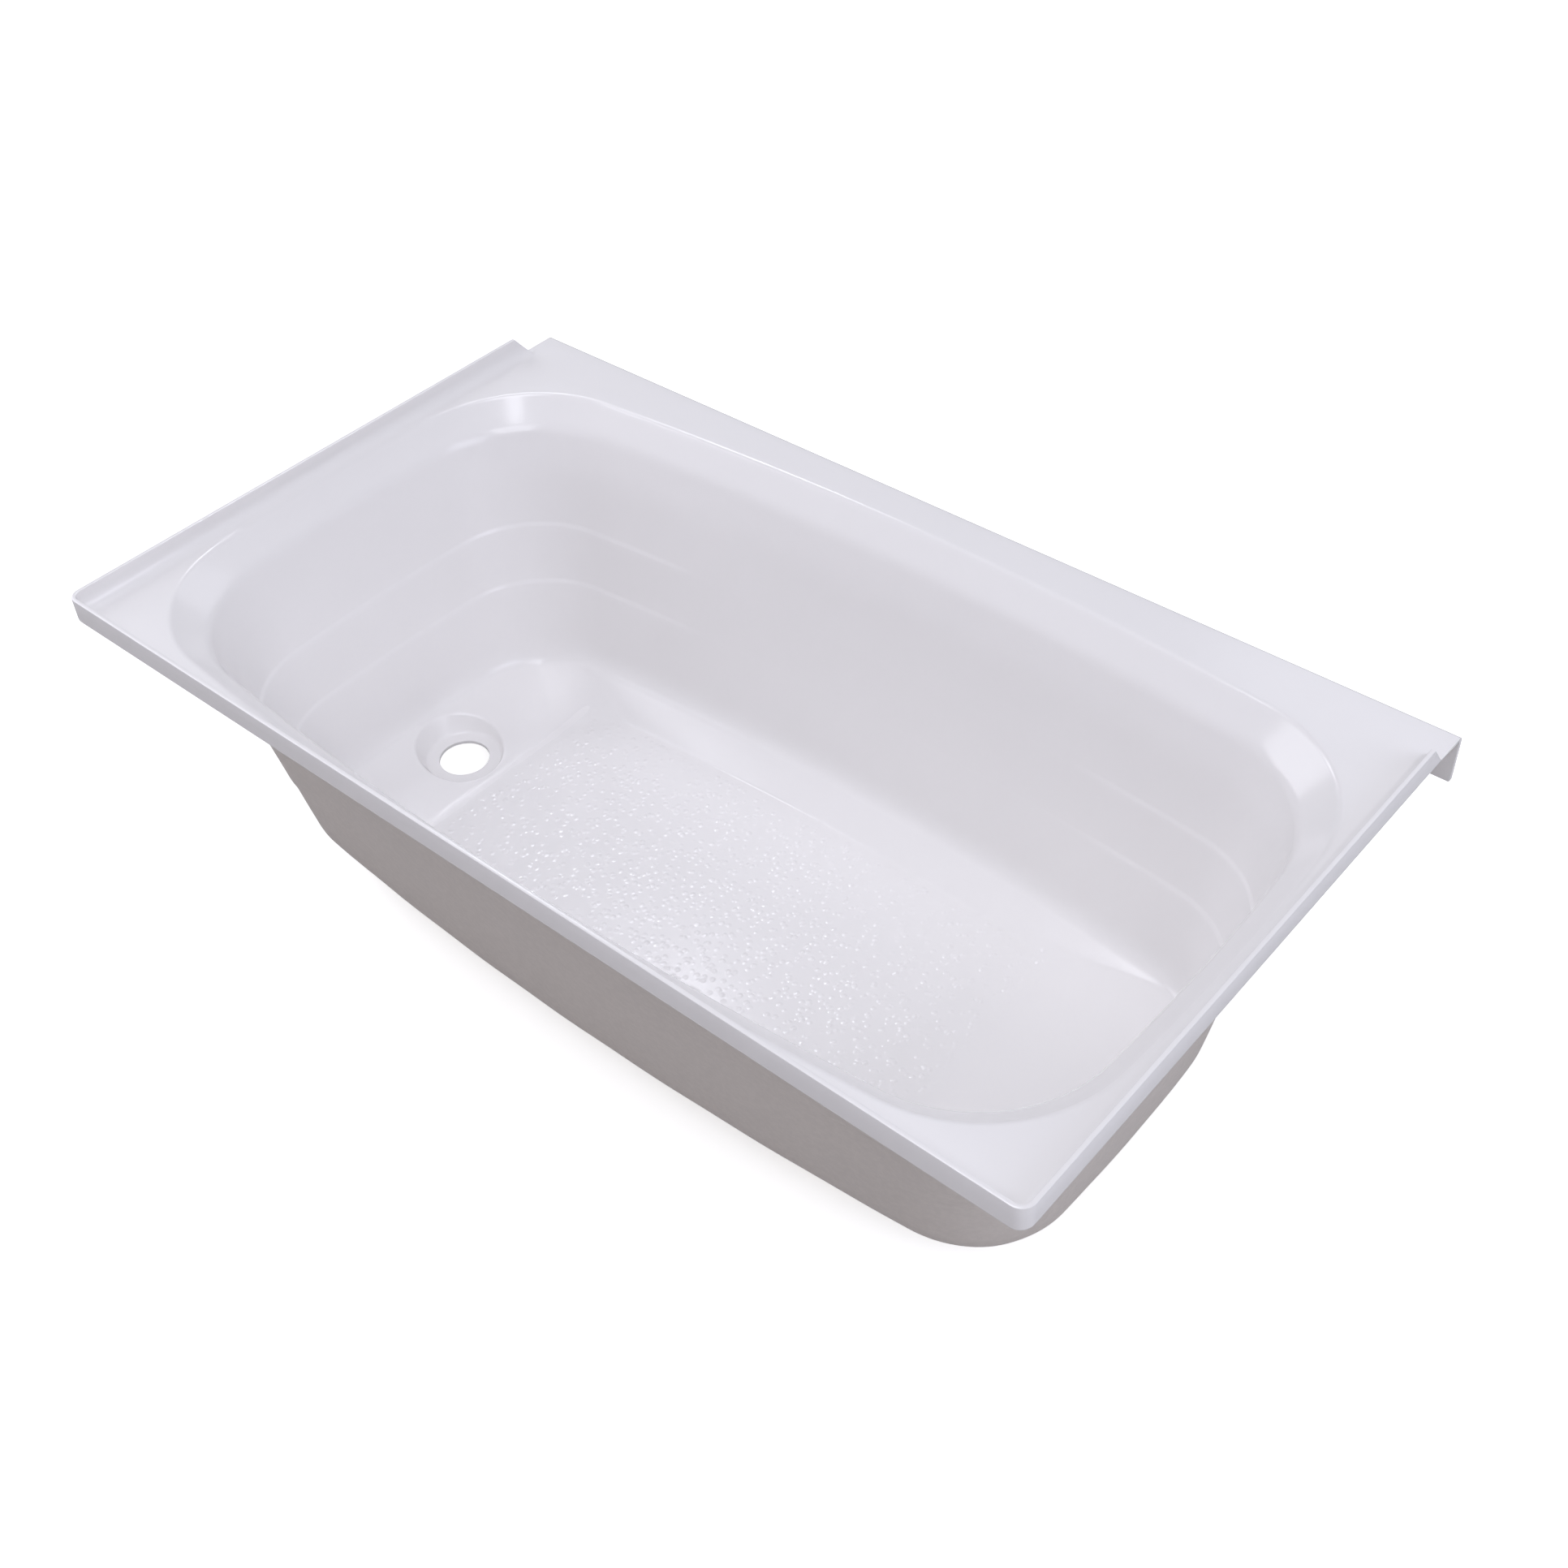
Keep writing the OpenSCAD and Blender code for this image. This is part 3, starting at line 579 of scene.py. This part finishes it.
class Skin:
    """Collects grids of points in mm, joins the points that coincide and drops the faces that collapse."""

    def __init__(self):
        self.points, self.quads, self.size = [], [], 0

    def grid(self, rows, flip=False, closed=True, keep=None):
        """rows[k, i] is joined to its neighbours k + 1 and i + 1, the last column to the first if closed.
        keep marks the faces that stay."""
        rows = np.asarray(rows)
        index = self.size + np.arange(rows.shape[0] * rows.shape[1]).reshape(rows.shape[:2])
        ahead = np.roll(index, -1, 1)
        quads = np.stack((index[:-1], ahead[:-1], ahead[1:], index[1:]), -1)
        quads = quads[keep] if keep is not None else quads[:, :None if closed else -1].reshape(-1, 4)
        self.quads.append(quads[:, ::-1] if flip else quads)
        self.points.append(rows.reshape(-1, 3))
        self.size += rows.shape[0] * rows.shape[1]

    def cap(self, ring, middle, flip=False):
        """Closes a ring with triangles to one point."""
        self.grid((ring, np.broadcast_to(middle, ring.shape)), flip=flip)

    def piece(self, name, weld=2e-4, sharp=math.radians(38)):
        """Makes the piece in metres. Points less than weld apart are one, edges past sharp stay crisp."""
        points, quads = np.vstack(self.points), np.vstack(self.quads)
        cell, where = np.unique(np.round(points / weld).astype(np.int64), axis=0, return_inverse=True)
        where = where.reshape(-1)
        joined = np.zeros((len(cell), 3))
        joined[where] = points
        faces = [[int(f[i]) for i in range(4) if f[i] != f[i - 1]] for f in where[quads]]
        faces = [face for face in faces if len(set(face)) > 2]
        mesh = bpy.data.meshes.new(name)
        mesh.from_pydata(((joined + (0, 0, DECK_Z)) * MM).tolist(), [], faces)
        mesh.polygons.foreach_set("use_smooth", np.ones(len(mesh.polygons), bool))
        mesh.set_sharp_from_angle(angle=sharp)
        piece = bpy.data.objects.new(name, mesh)
        bpy.context.scene.collection.objects.link(piece)
        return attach(piece, "root")


skin = Skin()
kept = np.ones((len(basin) - 1, COLUMNS), bool)
kept[DISH_TOP:DISH_BOTTOM, LEFT:RIGHT] = False
skin.grid(np.concatenate((deck, basin[:1])))
skin.grid(basin, keep=kept)
skin.cap(basin[-1], pole)
skin.grid(np.concatenate((deck_under, under[:1])), flip=True)
skin.grid(under, flip=True, keep=kept)
skin.cap(under[-1], pole - (0, 0, SHEET), flip=True)
skin.grid(np.concatenate((dish_top, hole)))
skin.grid(np.concatenate((dish_under, hole[1:])), flip=True)
first, final = np.flatnonzero(at_lip)[[0, -1]]
kept = np.ones((len(flange), COLUMNS), bool)
kept[:, first:final] = False
skin.grid(np.concatenate((deck[:1], flange)), flip=True, keep=kept)
kept = ~kept[:len(lip_out) - 1]
skin.grid(lip_out, flip=True, keep=kept)
skin.grid(lip_in, keep=kept)
skin.grid((lip_out[-1], lip_in[-1]), flip=True, keep=kept[:1])
skin.grid((lip_out[:, first], lip_in[:, first]), flip=True, closed=False)
skin.grid((lip_out[:, final], lip_in[:, final]), closed=False)
tub = skin.piece("tub_sheet")

# White acrylic, hardly warmer than neutral. The flat of the floor is pebbled against slipping, by low domes
# about 7 mm apart, and the bend at its drain end is a little duller.
PEBBLES_PER_METRE, PEBBLE_H = 140.0, 0.0005
EDGE_FADE = 0.012                                # the pebbles fade in over this much of the floor's edge
FLOOR_MASK = 0.052, 0.060                        # heights between which both masks of the floor fade out
BEND_X = MM * (edge_x - 4)
BEND_ACROSS, BEND_ALONG = (0.001, 0.009), (0.12, 0.15)    # its mask fades out between these distances
WHITE, PALER_WHITE = (0.86, 0.845, 0.838, 1.0), (0.875, 0.86, 0.853, 1.0)
white = Shader("white_sheet")
x, y, z = white.axes()
mottle = white.noise(9.0, 3.0)
white.put(Base_Color=white.mix(mottle, WHITE, PALER_WHITE))
low_down = z.ramp(*FLOOR_MASK, 1.0, 0.0)
off_middle = abs(y - MM * OPEN_Y)
from_end = MM * (back_edge_x - edge_x) / 2 - abs(x - MM * (back_edge_x + edge_x) / 2)
from_side = MM * (OPEN_B - FLOOR_IN_SIDE) - off_middle
on_floor = white.math("MINIMUM", from_end, from_side).ramp(0.0, EDGE_FADE) * low_down
on_bend = abs(x - BEND_X).ramp(*BEND_ACROSS, 1.0, 0.0) * off_middle.ramp(*BEND_ALONG, 1.0, 0.0) * low_down
roughness = white.noise(40.0, 3.0).ramp(0.2, 0.8, 0.14, 0.20)
white.put(Roughness=roughness - 0.03 * on_floor + 0.13 * on_bend)
cells = {"Vector": white.place, "Scale": PEBBLES_PER_METRE, "Randomness": 1.0}
nearest = white.add("ShaderNodeTexVoronoi", cells, output="Distance", feature="F1", voronoi_dimensions="3D")
uneven = white.noise(90.0, 1.0).ramp(0.3, 0.7, 0.4, 1.0)
grain = white.noise(900.0, 1.0)
white.bump(nearest.ramp(0.08, 0.5, 1.0, 0.0) * uneven * on_floor + grain * 0.01, 1.0, PEBBLE_H)
tub.data.materials.append(white.material)
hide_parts("tub_shell")


# Laminate: glass fibre and resin, rolled on to the back of the basin by hand to stiffen the thin sheet. It
# is 2 mm thick, slightly uneven, and left off around the drain, whose nut bears on the sheet itself.
BOND, LAMINATE, UNEVEN, BARE_R = 0.3, 2.0, 0.18, 51.0
SHOULDER_FOOT = 19.5                             # depth at which the laminate starts
top_row = int(np.argmin(np.abs(levels[:, 0] - SHOULDER_FOOT)))
BARE_TOP, BARE_BOTTOM = DISH_TOP - top_row, DISH_TOP - top_row + SLOPE_ROWS


def rolled(points):
    """Height of the roller's marks in -1..1: a product of two sines along bent lines."""
    x, y, z = points[..., 0], points[..., 1], points[..., 2]
    return np.sin(x / 17 + 1.7 * np.sin(y / 23)) * np.sin(z / 19 + y / 29 + 0.8)


def bare_hole(grid):
    """Rings from the block round the drain to the laminate's hole."""
    rim, reach, unit, axis_z, rise = spokes(grid, BARE_TOP, BARE_BOTTOM)
    rings = inwards(rim, reach, unit, axis_z, rise, BARE_R)
    return np.array(rings + [circle(unit, BARE_R, axis_z + rise * BARE_R)])


back, up_back = under[top_row:], up[top_row:]
near = back - BOND * up_back
far = back - (BOND + LAMINATE + UNEVEN * rolled(back))[..., None] * up_back
near_hole, far_hole = bare_hole(near), bare_hole(far)
skin = Skin()
kept = np.ones((len(near) - 1, COLUMNS), bool)
kept[BARE_TOP:BARE_BOTTOM, LEFT:RIGHT] = False
skin.grid(np.concatenate((far[:1], near[:1])))
skin.grid(near, keep=kept)
skin.cap(near[-1], pole - (0, 0, SHEET + BOND))
skin.grid(far, flip=True, keep=kept)
skin.cap(far[-1], pole - (0, 0, SHEET + BOND + LAMINATE), flip=True)
skin.grid(np.concatenate((near_hole, far_hole[-1:])))
skin.grid(far_hole, flip=True)
laminate = skin.piece("laminate")

RESIN, GLASS = (0.62, 0.575, 0.53, 1.0), (0.70, 0.65, 0.60, 1.0)
fibre = Shader("glass_fibre_laminate")
strand = fibre.noise(160.0, 4.0, 0.65)
patch = fibre.noise(11.0, 3.0)
fibre.put(Base_Color=fibre.mix(strand.ramp(0.35, 0.7) * 0.5 + patch * 0.5, RESIN, GLASS))
fibre.put(Roughness=patch.ramp(0.3, 0.7, 0.5, 0.62))
fibre.bump(strand, 0.35, 0.0006)
laminate.data.materials.append(fibre.material)
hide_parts("basin_laminate")


# Floor board: plywood of seven plies, glued under the floor's laminate in the floor's own fall. Its sawn
# edges show the plies, every other one as dark end grain.
PLIES, BOARD_T = 7, 0.0095
FACE_DARK, FACE_PALE = (0.55, 0.40, 0.24, 1.0), (0.70, 0.55, 0.36, 1.0)
CORE_DARK, CORE_PALE = (0.34, 0.22, 0.12, 1.0), (0.50, 0.35, 0.20, 1.0)
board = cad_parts["floor_board"]
board_low, board_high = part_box("floor_board")
board_fall = (board_high.z - board_low.z - BOARD_T) / (board_high.x - board_low.x)
plywood = Shader("plywood")
x, y, z = plywood.axes()
height = (z - board_low.z - (x - board_low.x) * board_fall) / BOARD_T
ply = (height * 0.98 + 0.01) * PLIES             # kept just off 0 and PLIES, so that a face is of one ply
cross = plywood.math("GREATER_THAN", plywood.math("FRACT", ply * 0.5), 0.5)
along = plywood.noise((14.0, 260.0, 60.0), 4.0, 0.6)
end_grain = plywood.noise((700.0, 60.0, 60.0), 3.0, 0.6)
face = plywood.mix(along.ramp(0.3, 0.7), FACE_DARK, FACE_PALE)
core = plywood.mix(end_grain.ramp(0.3, 0.7), CORE_DARK, CORE_PALE)
plywood.put(Base_Color=plywood.mix(cross, face, core), Roughness=along.ramp(0.2, 0.8, 0.6, 0.78))
plywood.bump(along + end_grain * cross, 0.3, 0.0005)
for slot in board.material_slots:
    slot.material = plywood.material


# Bearers: three lengths of sawn softwood across the tub, glued under the board. Each one's top is cut to the
# floor's fall. Growth rings about each one's own pith run along it and show as arcs on its ends.
RING_GAP = 0.0042
EARLY_WOOD, LATE_WOOD, PORE = (0.70, 0.53, 0.33, 1.0), (0.50, 0.31, 0.15, 1.0), (0.40, 0.27, 0.15, 1.0)
PITHS = {"drain_end_bearer": (-0.31, -0.06), "middle_bearer": (-0.02, 0.11), "back_end_bearer": (0.2, -0.04)}
for name, (pith_x, pith_z) in PITHS.items():
    timber = Shader("timber_" + name)
    x, y, z = timber.axes()
    wander = timber.noise((22.0, 2.2, 22.0), 3.0)
    rings = ((x - pith_x) ** 2 + (z - pith_z) ** 2) ** 0.5 / RING_GAP + wander * 2.2
    late = timber.math("FRACT", rings).ramp(0.35, 0.95)
    pores = timber.noise((900.0, 25.0, 900.0), 3.0, 0.6)
    wood = timber.mix(late, EARLY_WOOD, LATE_WOOD)
    timber.put(Base_Color=timber.mix(pores.ramp(0.4, 0.8) * 0.35, wood, PORE))
    timber.put(Roughness=0.78 - 0.12 * late)
    timber.bump(pores + late * 0.4, 0.4, 0.0005)
    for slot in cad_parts[name].material_slots:
        slot.material = timber.material
